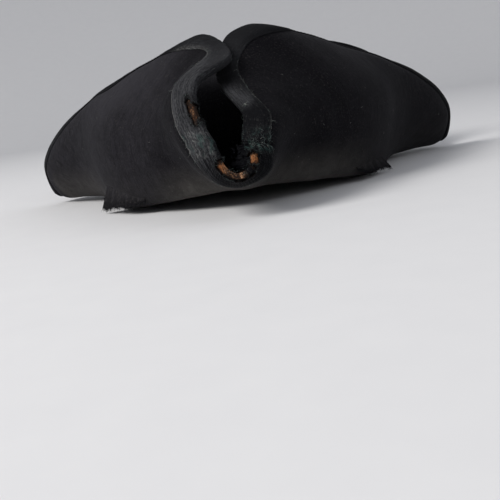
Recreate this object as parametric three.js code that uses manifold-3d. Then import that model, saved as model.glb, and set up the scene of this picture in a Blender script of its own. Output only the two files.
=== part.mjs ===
// A tricorn hat: a low round crown and one stiff brim sheet, turned up on three sides.
// The front point is pinched into a narrow spout, and its left lip laps over the right one.
// A ribbon binds the brim's edge; where it is worn through, the stiff core shows.
// Millimetres, +Z up, +Y towards the back of the head.  Left (-X) and right (+X) are as seen
// by someone who faces the hat's front point.
import * as THREE from "three";
import { mergeVertices } from "three/addons/utils/BufferGeometryUtils.js";
import Module from "manifold-3d";

const wasm = await Module();
wasm.setup();

// ---------------------------------------------------------------- driving dimensions
const GAP = 0.3;                 // clearance between neighbouring pieces
const HEAD_HALF_WIDTH = 78;      // head oval at the mid-line of the crown's wall
const HEAD_HALF_LENGTH = 97;
const BRIM_WALL = 2.6;
const BREAK_RISE = 6.5;          // the brim's inner edge stands this far above its roll
const COLUMN_STEP = 13;          // widest facet, measured round the brim
const LEAST_FACET = 3;           // shortest facet up the sheet, below the ribbon
const SPACING_POWER = 0.6;       // how much wide gaps between sections slow the curve round the brim
const END_SLOPE = 1.5;           // how far a section's end slopes lean past its last span
const CENTRE_SHIFT_Y = 28;       // brings the middle of the whole hat over the origin

const CROWN_WALL = 2.2;
const CROWN_TOP = 86;
const CROWN_SEGMENTS = 44;
const DOME_STEPS = 9;
const SIDE_POWER = 0.5;          // under 1 makes the crown's sides stand steeper than a ball's
const RISE_POWER = 0.95;
const BASE_FADE = 0.6;           // the base's rise and fall fades out at this share of the height

// The ribbon shows wide round the spout and narrows along the flaps, between two places of its edge.
const RIBBON_WIDTH_SPOUT = 14;
const RIBBON_WIDTH_FLAPS = 5;
const RIBBON_NARROWS_Y = [-100, -72];
const RIBBON_WALL = 0.8;
const CORE_WALL = 0.5;
const TEAR_SIDES = 12;
const TEAR_RINGS = 8;
const MERGE_DISTANCE = 1e-4;

// The brim's sheet in sections.  Each row is one section from the head oval to the edge:
// deg     the angle of the section's foot on the head oval, 0 at the front, 180 at the back
// reach   how far the roll lies outside the oval; roll = height of its lowest line
// waist, turn and edge are points (sideways, back, up) on the sheet's middle surface.
const TIP = { deg: 0, reach: 20, roll: 12, waist: [0, -140, 15], turn: [0, -165, 19], edge: [0, -176, 24] };
const LEFT_LIP = [
  { deg: 4, reach: 20, roll: 12.0, waist: [11, -138, 18], turn: [11, -166, 22], edge: [7, -176, 29] },
  { deg: 8, reach: 20, roll: 12.0, waist: [22, -134, 26], turn: [22, -163, 34], edge: [12, -171, 42] },
  { deg: 13, reach: 19, roll: 11.5, waist: [33, -128, 36], turn: [31, -152, 55], edge: [18, -161, 59] },
  { deg: 18, reach: 18, roll: 11.0, waist: [42, -120, 42], turn: [31, -140, 71], edge: [17, -149, 74] },
  { deg: 25, reach: 17, roll: 9.5, waist: [52, -112, 46], turn: [14, -122, 87], edge: [-3, -130, 86] },
  { deg: 34, reach: 16, roll: 8.0, waist: [63, -100, 50], turn: [21, -106, 94], edge: [10, -103, 99] },
  { deg: 48, reach: 15, roll: 5.0, waist: [80, -82, 50], turn: [51, -77, 89], edge: [43, -72, 92] },
];
const RIGHT_LIP = [
  { deg: 4, reach: 20, roll: 12.0, waist: [11, -138, 18], turn: [14, -167, 24], edge: [8, -175, 29] },
  { deg: 8, reach: 20, roll: 12.0, waist: [22, -134, 26], turn: [18, -168, 38], edge: [5, -167, 40] },
  { deg: 13, reach: 19, roll: 11.5, waist: [33, -128, 36], turn: [21, -156, 51], edge: [7, -153, 53] },
  { deg: 18, reach: 18, roll: 11.0, waist: [42, -120, 42], turn: [16, -141, 65], edge: [-2, -135, 67] },
  { deg: 25, reach: 17, roll: 9.5, waist: [52, -112, 46], turn: [12, -122, 79], edge: [-5, -114, 79] },
  { deg: 30, reach: 16, roll: 9.0, waist: [58, -106, 48], turn: [14, -108, 92], edge: [2, -104, 96] },
  { deg: 36, reach: 16, roll: 8.0, waist: [66, -98, 50], turn: [25, -100, 97], edge: [15, -98, 101] },
  { deg: 48, reach: 15, roll: 5.0, waist: [80, -82, 50], turn: [49, -76, 93], edge: [42, -72, 95] },
];
const FLAP = [
  { deg: 62, reach: 14, roll: 2.5, waist: [95, -56, 50], turn: [76, -45, 82], edge: [69, -39, 85] },
  { deg: 76, reach: 14, roll: 0.5, waist: [107, -26, 46], turn: [103, -14, 72], edge: [96, -9, 76] },
  { deg: 88, reach: 16, roll: 0.5, waist: [120, 0, 38], turn: [130, 14, 54], edge: [127, 20, 62] },
  { deg: 97, reach: 19, roll: 1.0, waist: [130, 20, 25], turn: [148, 34, 36], edge: [150, 42, 44] },
  { deg: 104, reach: 22, roll: 2.5, waist: [133, 36, 12], turn: [154, 47, 20], edge: [159, 55, 28] },
  { deg: 110, reach: 24, roll: 3.5, waist: [130, 49, 5], turn: [147, 59, 5], edge: [156, 64, 9] },
  { deg: 117, reach: 22, roll: 2.5, waist: [124, 62, 10], turn: [142, 75, 14], edge: [150, 80, 21] },
  { deg: 125, reach: 18, roll: 1.0, waist: [114, 82, 28], turn: [130, 94, 44], edge: [134, 97, 54] },
  { deg: 137, reach: 15, roll: 0.5, waist: [94, 102, 44], turn: [108, 106, 72], edge: [110, 105, 82] },
  { deg: 155, reach: 14, roll: 0.5, waist: [52, 116, 50], turn: [62, 115, 90], edge: [62, 111, 100] },
];
const BACK = { deg: 180, reach: 14, roll: 0.5, waist: [0, 120, 50], turn: [0, 118, 92], edge: [0, 114, 102] };

// Where the binding is worn through, from one end of the tear to the other.
const TEARS = [
  { name: "bare_core_left", from: [-21, -155, 66], to: [-17.5, -165, 52], halfWidth: 4.2 },
  { name: "bare_core_bottom", from: [-10, -175, 32], to: [3, -176, 23.5], halfWidth: 4 },
  { name: "bare_core_right", from: [9.3, -170.5, 34.5], to: [7.8, -174.5, 27.5], halfWidth: 4 },
];

// Torn strips of the outer cloth that hang from the side rolls: where each begins and ends
// round the head, and the heights of its top line and its ragged hem at those two ends.
const CLOTH_WALL = 1.0;
const HEM_TOOTH = 2.2;
const HEM_STEP_DEG = 2;
const HEM_FLARE = 1.5;
const TIP_FLARE = 4;             // how much further the strip's free corner stands out and back
const TIP_LEAN = 3;
const HEM_FACES_FROM_Y = -32;    // the strips face away from this point of the hat's middle line
const TORN_HEMS = [
  { name: "torn_hem_left", side: -1, fromDeg: 40, toDeg: 62, top: [9, 19], low: [5.5, 2] },
  { name: "torn_hem_right", side: 1, fromDeg: 44, toDeg: 64, top: [10, 11], low: [5.5, 3.5] },
];

// Facets between the named lines of a section: foot, roll, waist, turn, ribbon, edge.
const SPAN_FACETS = [3, 3, 3, 1, 2];

// ---------------------------------------------------------------- small vector helpers
const add = (a, b, k = 1) => a.map((value, i) => value + k * b[i]);
const mix = (a, b, t) => a.map((value, i) => value + t * (b[i] - value));
const length = (a) => Math.hypot(...a);
const unit = (a) => a.map((value) => value / length(a));
const cross = (a, b) => [
  a[1] * b[2] - a[2] * b[1],
  a[2] * b[0] - a[0] * b[2],
  a[0] * b[1] - a[1] * b[0],
];

// ---------------------------------------------------------------- the brim's middle surface
// A section's control points: foot on the oval, roll, waist, turn, edge.
function sectionPoints(row, side) {
  const angle = THREE.MathUtils.degToRad(row.deg);
  const oval = [HEAD_HALF_WIDTH * Math.sin(angle), -HEAD_HALF_LENGTH * Math.cos(angle)];
  const outward = unit([Math.sin(angle) / HEAD_HALF_WIDTH, -Math.cos(angle) / HEAD_HALF_LENGTH]);
  const roll = add(oval, outward, row.reach);
  const points = [[...oval, row.roll + BREAK_RISE], [...roll, row.roll], row.waist, row.turn, row.edge];
  return points.map(([x, y, z]) => [side * x, y, z]);
}

// Hermite blend between two points with their tangents, already scaled to the span.
function hermite(p0, m0, p1, m1, t) {
  const toEnd = 3 * t ** 2 - 2 * t ** 3;
  const leave = t ** 3 - 2 * t ** 2 + t;
  const arrive = t ** 3 - t ** 2;
  return p0.map((_, i) => (1 - toEnd) * p0[i] + leave * m0[i] + toEnd * p1[i] + arrive * m1[i]);
}

// Tangent at a point from the slopes of the spans before and after it.
function tangent(before, here, after, spanBefore, spanAfter) {
  const slopeIn = add(here, before, -1).map((value) => value / spanBefore);
  const slopeOut = add(after, here, -1).map((value) => value / spanAfter);
  return slopeIn.map((value, i) => (value * spanAfter + slopeOut[i] * spanBefore) / (spanBefore + spanAfter));
}

// The sections round the brim, front to left to back to right, and smooth ones between them.
function brimColumns() {
  const rows = [
    sectionPoints(TIP, 1),
    ...[...LEFT_LIP, ...FLAP].map((row) => sectionPoints(row, -1)),
    sectionPoints(BACK, 1),
    ...[...RIGHT_LIP, ...FLAP].reverse().map((row) => sectionPoints(row, 1)),
  ];
  const count = rows.length;
  const at = (i) => rows[(i + count) % count];
  const widths = (i) => at(i).map((point, k) => length(add(at(i + 1)[k], point, -1)));
  const width = (i) => widths(i).reduce((sum, value) => sum + value) / at(i).length;
  const columns = [];
  for (let i = 0; i < count; i += 1) {
    const spans = [width(i - 1), width(i), width(i + 1)].map((value) => value ** SPACING_POWER);
    const steps = Math.max(2, Math.round(Math.max(...widths(i)) / COLUMN_STEP));
    for (let s = 0; s < steps; s += 1) {
      columns.push(at(i).map((point, k) => {
        const m0 = tangent(at(i - 1)[k], point, at(i + 1)[k], spans[0], spans[1]);
        const m1 = tangent(point, at(i + 1)[k], at(i + 2)[k], spans[1], spans[2]);
        const scaled = [m0, m1].map((m) => m.map((value) => value * spans[1]));
        return hermite(point, scaled[0], at(i + 1)[k], scaled[1], s / steps);
      }));
    }
  }
  return columns;
}

// One section as a smooth line: fine samples with their distance along it.
function sectionLine(points) {
  const FINE = 16;
  const spans = points.slice(1).map((point, i) => Math.sqrt(length(add(point, points[i], -1))));
  const slopes = spans.map((span, i) => add(points[i + 1], points[i], -1).map((value) => value / span));
  const tangents = points.map((point, i) => {
    if (i === 0 || i === points.length - 1) return null;
    return tangent(points[i - 1], point, points[i + 1], spans[i - 1], spans[i]);
  });
  tangents[0] = mix(tangents[1], slopes[0], END_SLOPE);
  tangents[points.length - 1] = mix(tangents[points.length - 2], slopes.at(-1), END_SLOPE);
  const samples = [];
  for (let i = 0; i < spans.length; i += 1) {
    const m0 = tangents[i].map((value) => value * spans[i]);
    const m1 = tangents[i + 1].map((value) => value * spans[i]);
    for (let s = 0; s < FINE; s += 1) {
      samples.push(hermite(points[i], m0, points[i + 1], m1, s / FINE));
    }
  }
  samples.push(points.at(-1));
  const distance = [0];
  for (let i = 1; i < samples.length; i += 1) {
    distance.push(distance[i - 1] + length(add(samples[i], samples[i - 1], -1)));
  }
  const pointAt = (want) => {
    const i = Math.min(Math.max(distance.findIndex((d) => d >= want), 1), samples.length - 1);
    return mix(samples[i - 1], samples[i], (want - distance[i - 1]) / (distance[i] - distance[i - 1]));
  };
  const [roll, waist, turn] = [1, 2, 3].map((span) => distance[span * FINE]);
  return { pointAt, total: distance.at(-1), roll, waist, turn };
}

function ribbonWidth(edge) {
  const narrowed = THREE.MathUtils.smoothstep(edge[1], ...RIBBON_NARROWS_Y);
  return THREE.MathUtils.lerp(RIBBON_WIDTH_SPOUT, RIBBON_WIDTH_FLAPS, narrowed);
}

// The middle surface as columns of points, all with the same levels from foot to edge.
function middleSurface() {
  return brimColumns().map((points) => {
    const line = sectionLine(points);
    const ribbonStart = line.total - ribbonWidth(points.at(-1));
    const turn = Math.min(line.turn, ribbonStart - LEAST_FACET);
    const stops = [0, line.roll, line.waist, turn, ribbonStart, line.total];
    const column = [line.pointAt(0)];
    SPAN_FACETS.forEach((facets, i) => {
      for (let s = 1; s <= facets; s += 1) {
        column.push(line.pointAt(stops[i] + ((stops[i + 1] - stops[i]) * s) / facets));
      }
    });
    return column;
  });
}

const middle = middleSurface();
const columnCount = middle.length;
const levelCount = middle[0].length;

// Direction up the sheet towards the edge, and the normal on its outer face.
function upSheet(u, v) {
  const column = middle[u];
  return unit(add(column[Math.min(v + 1, levelCount - 1)], column[Math.max(v - 1, 0)], -1));
}
function outerNormal(u, v) {
  const next = middle[(u + 1) % columnCount][v];
  const last = middle[(u + columnCount - 1) % columnCount][v];
  return unit(cross(upSheet(u, v), add(next, last, -1)));
}

// ---------------------------------------------------------------- meshes from loops of points
// Loops that follow one another round a ring, or, if open, are closed by a cap at both ends.
function loftGeometry(loops, ring) {
  const size = loops[0].length;
  const points = loops.flat();
  const index = [];
  const span = (a, b) => length(add(points[a], points[b], -1));
  const quad = (a, b, c, d) => {
    // the shorter diagonal, so that two skins that follow each other are cut the same way
    if (span(a, c) <= span(b, d)) index.push(a, b, c, a, c, d);
    else index.push(a, b, d, b, c, d);
  };
  for (let u = 0; u < loops.length - (ring ? 0 : 1); u += 1) {
    const next = (u + 1) % loops.length;
    for (let k = 0; k < size; k += 1) {
      const after = (k + 1) % size;
      quad(u * size + k, u * size + after, next * size + after, next * size + k);
    }
  }
  if (!ring) {
    const end = (loops.length - 1) * size;
    for (let k = 0; k < size / 2 - 1; k += 1) {
      quad(k, size - 1 - k, size - 2 - k, k + 1);
      quad(end + k, end + k + 1, end + size - 2 - k, end + size - 1 - k);
    }
  }
  const geometry = new THREE.BufferGeometry();
  geometry.setAttribute("position", new THREE.Float32BufferAttribute(points.flat(), 3));
  geometry.setIndex(index);
  return geometry;
}

function toSolid(geometry) {
  const bare = geometry.clone();
  bare.deleteAttribute("normal");
  bare.deleteAttribute("uv");
  const merged = mergeVertices(bare, MERGE_DISTANCE);
  return new wasm.Manifold(new wasm.Mesh({
    numProp: 3,
    vertProperties: new Float32Array(merged.attributes.position.array),
    triVerts: new Uint32Array(merged.index.array),
  }));
}

function fromSolid(solid) {
  const { vertProperties, triVerts } = solid.getMesh();
  const geometry = new THREE.BufferGeometry();
  geometry.setAttribute("position", new THREE.BufferAttribute(vertProperties, 3));
  geometry.setIndex(new THREE.BufferAttribute(triVerts, 1));
  return geometry;
}

// ---------------------------------------------------------------- the pieces
// The brim rests on its side and back rolls, which are pressed flat where they meet the table.
function onTable([x, y, z]) {
  return [x, y, Math.max(z, 0)];
}

function brimGeometry() {
  const half = BRIM_WALL / 2;
  const loops = middle.map((column, u) => {
    const outer = column.map((point, v) => onTable(add(point, outerNormal(u, v), half)));
    const inner = column.map((point, v) => add(point, outerNormal(u, v), -half));
    return [...outer, ...inner.reverse()];
  });
  return loftGeometry(loops, true);
}

// A binding folded over the edge: offsets of its inside and outside skins from the sheet.
function bindingGeometry(wall) {
  const near = BRIM_WALL / 2 + GAP;
  const ribbonLevels = SPAN_FACETS.at(-1) + 1;
  const levels = Array.from({ length: ribbonLevels }, (_, k) => levelCount - ribbonLevels + k);
  const skin = (u, offset, overhang) => {
    const face = (side) => levels.map((v) => {
      const point = add(middle[u][v], outerNormal(u, v), side * offset);
      return v === levelCount - 1 ? add(point, upSheet(u, v), overhang) : point;
    });
    return [...face(1), ...face(-1).reverse()];
  };
  const loops = middle.map((_, u) => [
    ...skin(u, near + wall, GAP + wall),
    ...skin(u, near, GAP).reverse(),
  ]);
  return loftGeometry(loops, true);
}

// The height of the brim's inner edge under each direction from the middle of the head.
const ovalAngle = (x, y) => Math.atan2(x / HEAD_HALF_WIDTH, -y / HEAD_HALF_LENGTH);
const footHeights = middle.map(([[x, y, z]]) => ({ angle: ovalAngle(x, y), z }))
  .sort((a, b) => a.angle - b.angle);
function footHeight(angle) {
  const after = Math.max(footHeights.findIndex((foot) => foot.angle >= angle), 0);
  const next = footHeights[after];
  const last = footHeights.at(after - 1);
  const turn = (a) => (a + 2 * Math.PI) % (2 * Math.PI);
  const share = turn(angle - last.angle) / turn(next.angle - last.angle);
  return last.z + share * (next.z - last.z);
}

// A round-topped crown: a turned profile stretched to the head oval, its base set on the brim.
function crownGeometry() {
  const profile = [];
  const addDome = (radius, top, fromTop) => {
    for (let i = 0; i <= DOME_STEPS; i += 1) {
      const angle = ((fromTop ? DOME_STEPS - i : i) / DOME_STEPS) * (Math.PI / 2);
      const across = i === (fromTop ? 0 : DOME_STEPS) ? 0 : radius * Math.cos(angle) ** SIDE_POWER;
      profile.push(new THREE.Vector2(across, top * Math.sin(angle) ** RISE_POWER));
    }
  };
  const halfWall = CROWN_WALL / 2 / HEAD_HALF_WIDTH;
  addDome(1 + halfWall, CROWN_TOP, false);
  addDome(1 - halfWall, CROWN_TOP - CROWN_WALL, true);
  profile.push(profile[0].clone());
  const geometry = new THREE.LatheGeometry(profile, CROWN_SEGMENTS);
  geometry.rotateX(Math.PI / 2);
  geometry.scale(HEAD_HALF_WIDTH, HEAD_HALF_LENGTH, 1);
  const position = geometry.attributes.position;
  for (let i = 0; i < position.count; i += 1) {
    const [x, y, z] = [position.getX(i), position.getY(i), position.getZ(i)];
    const base = footHeight(ovalAngle(x, y)) + BRIM_WALL / 2 + 2 * GAP;
    position.setZ(i, z + base * Math.max(0, 1 - z / (BASE_FADE * CROWN_TOP)));
  }
  return geometry;
}

// A place where the binding is worn through: a spindle from one end of the tear to the other.
function tearSolid(tear, shrink) {
  const from = new THREE.Vector3(...tear.from);
  const to = new THREE.Vector3(...tear.to);
  const along = to.clone().sub(from);
  const halfLength = along.length() / 2 - shrink;
  const geometry = new THREE.SphereGeometry(1, TEAR_SIDES, TEAR_RINGS);
  geometry.scale(tear.halfWidth - shrink, halfLength, tear.halfWidth - shrink);
  const poleToTear = new THREE.Quaternion().setFromUnitVectors(new THREE.Vector3(0, 1, 0), along.normalize());
  geometry.applyQuaternion(poleToTear);
  geometry.translate(...from.add(to).multiplyScalar(0.5).toArray());
  return toSolid(geometry);
}

function wornBindingGeometry() {
  const cut = TEARS.map((tear) => tearSolid(tear, 0)).reduce((all, solid) => all.add(solid));
  return fromSolid(toSolid(bindingGeometry(RIBBON_WALL)).subtract(cut));
}

// The stiff core, bare at the bottom of a tear.
function coreGeometry(tear) {
  return fromSolid(toSolid(bindingGeometry(CORE_WALL)).intersect(tearSolid(tear, 2 * GAP)));
}

// A point on the brim's outer face at a height, between its roll and its waist.
const footDegrees = middle.map(([[x, y]]) => THREE.MathUtils.radToDeg(ovalAngle(x, y)));
function outerPointInColumn(u, height) {
  const outer = middle[u].map((point, v) => add(point, outerNormal(u, v), BRIM_WALL / 2));
  let v = SPAN_FACETS[0];
  while (outer[v + 1][2] < height) v += 1;
  return mix(outer[v], outer[v + 1], (height - outer[v][2]) / (outer[v + 1][2] - outer[v][2]));
}
function outerPoint(deg, height) {
  const near = footDegrees.map((foot, u) => ({ u, off: foot - deg }));
  const before = near.filter(({ off }) => off <= 0).sort((a, b) => b.off - a.off)[0];
  const after = near.filter(({ off }) => off > 0).sort((a, b) => a.off - b.off)[0];
  const share = before.off / (before.off - after.off);
  return mix(outerPointInColumn(before.u, height), outerPointInColumn(after.u, height), share);
}

// A torn strip of the outer cloth: it hangs straight down from the brim's outer face.
function hemGeometry(hem) {
  const count = Math.round((hem.toDeg - hem.fromDeg) / HEM_STEP_DEG);
  const loops = [];
  for (let i = 0; i <= count; i += 1) {
    const t = i / count;
    const [topHeight, lowHeight] = [hem.top, hem.low].map(([first, last]) => first + t * (last - first));
    const top = outerPoint(hem.side * (hem.fromDeg + t * (hem.toDeg - hem.fromDeg)), topHeight);
    const out = unit([top[0], top[1] - HEM_FACES_FROM_Y, 0]);
    const tooth = i % 2 === 0 ? 0 : HEM_TOOTH;
    const back = [-hem.side * out[1], hem.side * out[0], 0];
    const flared = add([top[0], top[1], lowHeight + tooth], out, HEM_FLARE + TIP_FLARE * t ** 4);
    const low = add(flared, back, TIP_LEAN * t * t);
    const inside = [top, mix(top, low, 0.5), low].map((point) => add(point, out, 2 * GAP));
    const outside = inside.map((point) => add(point, out, CLOTH_WALL));
    loops.push([...outside, ...inside.reverse()]);
  }
  return loftGeometry(hem.side > 0 ? loops : loops.reverse(), false);
}

// ---------------------------------------------------------------- the hat
const plush = new THREE.MeshStandardMaterial({ color: 0x1f1e22, roughness: 0.85, metalness: 0 });
const ribbon = new THREE.MeshStandardMaterial({ color: 0x3b3c3e, roughness: 0.8, metalness: 0 });
const bareCore = new THREE.MeshStandardMaterial({ color: 0xb98258, roughness: 0.9, metalness: 0 });

const hat = new THREE.Group();
function addPiece(name, geometry, material) {
  const mesh = new THREE.Mesh(geometry, material);
  mesh.name = name;
  mesh.position.y = CENTRE_SHIFT_Y;
  hat.add(mesh);
}

addPiece("crown", crownGeometry(), plush);
addPiece("brim", brimGeometry(), plush);
addPiece("edge_binding", wornBindingGeometry(), ribbon);
TEARS.forEach((tear) => addPiece(tear.name, coreGeometry(tear), bareCore));
TORN_HEMS.forEach((hem) => addPiece(hem.name, hemGeometry(hem), plush));

export default hat;
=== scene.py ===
# %% [markdown]
# # An old tricorn hat
# A tricorn is one round felt hat whose wide brim is turned up on three sides.  This one is felt
# under a napped black plush, bound with ribbon round its edge.  Age has pinched the front point
# into a narrow spout, worn the ribbon grey there, and torn the plush at both lower sides.
#
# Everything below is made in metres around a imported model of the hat, which gives its place.

import bpy
import numpy as np
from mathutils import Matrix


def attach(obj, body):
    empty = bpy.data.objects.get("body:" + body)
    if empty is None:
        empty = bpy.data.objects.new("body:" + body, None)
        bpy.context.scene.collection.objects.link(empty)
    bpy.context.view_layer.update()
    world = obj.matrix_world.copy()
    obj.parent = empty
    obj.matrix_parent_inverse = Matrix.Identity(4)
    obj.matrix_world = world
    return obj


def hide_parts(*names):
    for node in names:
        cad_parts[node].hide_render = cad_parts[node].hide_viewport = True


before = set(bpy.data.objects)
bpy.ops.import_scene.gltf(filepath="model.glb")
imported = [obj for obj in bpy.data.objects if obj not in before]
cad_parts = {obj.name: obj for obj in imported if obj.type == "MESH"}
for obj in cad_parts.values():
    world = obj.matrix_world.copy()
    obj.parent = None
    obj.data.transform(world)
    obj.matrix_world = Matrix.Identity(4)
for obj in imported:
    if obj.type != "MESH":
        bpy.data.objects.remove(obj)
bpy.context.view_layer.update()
MM = 0.001

# %% [markdown]
# ## Where the camera stands
# The camera stands far in front of the spout, lower than the hat's highest point, and looks
# slightly down, so that there is room below the hat and a wing spreads to each side.  It leans by
# a few degrees, which tips the hat the way a tilted display head would.  A long lens keeps the
# wings from bulging.

# %% The camera
CAMERA_PLACE = np.array([16.7, -571.6, 65.0]) * MM
CAMERA_AIM = np.array([-5.9, 0.0, -43.2]) * MM
CAMERA_LEAN = np.radians(-8.57)
FOCAL_LENGTH = 59.54


def unit(vectors):
    """Each vector divided by its own length."""
    return vectors / np.maximum(np.linalg.norm(vectors, axis=-1, keepdims=True), 1e-12)


def turn_to(place, aim, lean):
    """A 4 by 4 placing matrix: its -Z axis runs from place to aim, and X and Y lean round it."""
    back = unit(place - aim)
    side = unit(np.cross([0.0, 0.0, 1.0], back))
    up = np.cross(back, side)
    matrix = np.eye(4)
    matrix[:3, 0] = side * np.cos(lean) + up * np.sin(lean)
    matrix[:3, 1] = up * np.cos(lean) - side * np.sin(lean)
    matrix[:3, 2] = back
    matrix[:3, 3] = place
    return matrix


camera = bpy.data.objects.new("camera", bpy.data.cameras.new("camera"))
bpy.context.scene.collection.objects.link(camera)
camera.data.lens = FOCAL_LENGTH
camera.matrix_world = turn_to(CAMERA_PLACE, CAMERA_AIM, CAMERA_LEAN).T.tolist()
bpy.context.scene.camera = camera
print("camera height above the table:", round(CAMERA_PLACE[2] / MM), "mm")

# %% [markdown]
# ## The brim as a table of sections
# A hatter could describe a brim by cutting it like a cake: each cut shows one curved line from
# the head opening to the edge.  The tables below are such cuts.  A section starts at the foot,
# on the oval of the head, rolls down and out, then climbs through a waist and a turn to the
# edge.  The left and right lips differ, because the left one laps over the right at the front.

# %% The sections of the brim
HEAD_HALF_WIDTH = 78
HEAD_HALF_LENGTH = 97
BREAK_RISE = 6.5
CENTRE_SHIFT_Y = 28
BRIM_WALL = 2.6
GAP = 0.3

# angle on the head oval, reach, roll height, then waist, turn and edge (sideways, back, up)
TIP = (0, 20, 12.0, (0, -140, 15), (0, -165, 19), (0, -176, 24))
LEFT_LIP = [
    (4, 20, 12.0, (11, -138, 18), (11, -166, 22), (7, -176, 29)),
    (8, 20, 12.0, (22, -134, 26), (22, -163, 34), (12, -171, 42)),
    (13, 19, 11.5, (33, -128, 36), (31, -152, 55), (18, -161, 59)),
    (18, 18, 11.0, (42, -120, 42), (31, -140, 71), (17, -149, 74)),
    (25, 17, 9.5, (52, -112, 46), (14, -122, 87), (-3, -130, 86)),
    (34, 16, 8.0, (63, -100, 50), (21, -106, 94), (10, -103, 99)),
    (48, 15, 5.0, (80, -82, 50), (51, -77, 89), (43, -72, 92)),
]
RIGHT_LIP = [
    (4, 20, 12.0, (11, -138, 18), (14, -167, 24), (8, -175, 29)),
    (8, 20, 12.0, (22, -134, 26), (18, -168, 38), (5, -167, 40)),
    (13, 19, 11.5, (33, -128, 36), (21, -156, 51), (7, -153, 53)),
    (18, 18, 11.0, (42, -120, 42), (16, -141, 65), (-2, -135, 67)),
    (25, 17, 9.5, (52, -112, 46), (12, -122, 79), (-5, -114, 79)),
    (30, 16, 9.0, (58, -106, 48), (14, -108, 92), (2, -104, 96)),
    (36, 16, 8.0, (66, -98, 50), (25, -100, 97), (15, -98, 101)),
    (48, 15, 5.0, (80, -82, 50), (49, -76, 93), (42, -72, 95)),
]
FLAP = [
    (62, 14, 2.5, (95, -56, 50), (76, -45, 82), (69, -39, 85)),
    (76, 14, 0.5, (107, -26, 46), (103, -14, 72), (96, -9, 76)),
    (88, 16, 0.5, (120, 0, 38), (130, 14, 54), (127, 20, 62)),
    (97, 19, 1.0, (130, 20, 25), (148, 34, 36), (150, 42, 44)),
    (104, 22, 2.5, (133, 36, 12), (154, 47, 20), (159, 55, 28)),
    (110, 24, 3.5, (130, 49, 5), (147, 59, 5), (156, 64, 9)),
    (117, 22, 2.5, (124, 62, 10), (142, 75, 14), (150, 80, 21)),
    (125, 18, 1.0, (114, 82, 28), (130, 94, 44), (134, 97, 54)),
    (137, 15, 0.5, (94, 102, 44), (108, 106, 72), (110, 105, 82)),
    (155, 14, 0.5, (52, 116, 50), (62, 115, 90), (62, 111, 100)),
]
BACK = (180, 14, 0.5, (0, 120, 50), (0, 118, 92), (0, 114, 102))


def oval_point(degrees):
    """A point of the head oval and the direction straight out of it, at angles from the front."""
    angle = np.radians(degrees)
    point = np.stack([HEAD_HALF_WIDTH * np.sin(angle), -HEAD_HALF_LENGTH * np.cos(angle)], -1)
    out = np.stack([np.sin(angle) / HEAD_HALF_WIDTH, -np.cos(angle) / HEAD_HALF_LENGTH], -1)
    return point, unit(out)


def section(row, side):
    """The five named points of one section: foot, roll, waist, turn and edge."""
    degrees, reach, roll, waist, turn, edge = row
    foot, out = oval_point(degrees)
    points = np.array([[*foot, roll + BREAK_RISE], [*(foot + reach * out), roll], waist, turn, edge])
    return points * [side, 1, 1] + [0, CENTRE_SHIFT_Y, 0]


SECTIONS = np.array(
    [section(TIP, 1)]
    + [section(row, -1) for row in LEFT_LIP + FLAP]
    + [section(BACK, 1)]
    + [section(row, 1) for row in (RIGHT_LIP + FLAP)[::-1]]
) * MM
print(len(SECTIONS), "sections, foot to edge, as", SECTIONS.shape)

# %% [markdown]
# ## One smooth sheet through the sections
# Felt bends without corners, so a smooth curve has to run through the sections both ways.  A
# Catmull-Rom curve passes through its points and takes its slope at each from the neighbours.
# Its spans are given unequal times, or it would loop where points crowd together at the spout.

# %% Curves through points
SPACING_POWER = 0.6
FINE = 16


def eased(share):
    """A share from 0 to 1 that starts and ends slowly: thrice its square less twice its cube."""
    return share * share * (3 - 2 * share)


def blend(first, last, share):
    """Part of the way from the first value to the last."""
    return first + (last - first) * share


def mean_slope(before, after, time_before, time_after):
    """The slope where two spans meet: the slope of each counts by the time of the other."""
    return (before * time_after + after * time_before) / (time_before + time_after)


def cubic(start, end, leave, arrive, time, t):
    """A cubic from start to end, leaving and arriving with the given slopes, at shares t."""
    rise = t * (1 - t) ** 2 * time
    fall = t * t * (t - 1) * time
    return blend(start, end, eased(t)) + leave * rise + arrive * fall


SECTION_GAPS = np.linalg.norm(np.roll(SECTIONS, -1, axis=0) - SECTIONS, axis=-1)
TIMES = np.mean(SECTION_GAPS, axis=1) ** SPACING_POWER


def named_points(u):
    """The five named points of the sections at places u, counted in sections round the brim."""
    first = np.floor(u).astype(int)
    around = (first + np.array([[-1], [0], [1], [2]])) % len(SECTIONS)
    before, start, end, after = SECTIONS[around]
    t_before, t_here, t_after = TIMES[around[:3]][..., None, None]
    slope = (end - start) / t_here
    leave = mean_slope((start - before) / t_before, slope, t_before, t_here)
    arrive = mean_slope(slope, (after - end) / t_after, t_here, t_after)
    return cubic(start, end, leave, arrive, t_here, (u - first)[:, None, None])


def section_lines(u):
    """Fine points up each section, and their distances from the foot.

    Each line is cubic from point to point, in a time that is the root of the points' distance.
    """
    points = named_points(u)
    times = np.sqrt(np.linalg.norm(np.diff(points, axis=1), axis=-1, keepdims=True))
    slopes = np.diff(points, axis=1) / times
    inner = mean_slope(slopes[:, :-1], slopes[:, 1:], times[:, :-1], times[:, 1:])
    first = 1.5 * slopes[:, :1] - 0.5 * inner[:, :1]
    last = 1.5 * slopes[:, -1:] - 0.5 * inner[:, -1:]
    tangents = np.concatenate([first, inner, last], axis=1)
    t = (np.arange(FINE) / FINE)[:, None]
    spans = (points[:, :-1], points[:, 1:], tangents[:, :-1], tangents[:, 1:], times)
    pieces = [cubic(*(values[:, k, None] for values in spans), t) for k in range(4)]
    line = np.concatenate(pieces + [points[:, 4:]], axis=1)
    steps = np.linalg.norm(np.diff(line, axis=1), axis=-1)
    return line, np.concatenate([np.zeros((len(u), 1)), np.cumsum(steps, axis=1)], axis=1)


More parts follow.
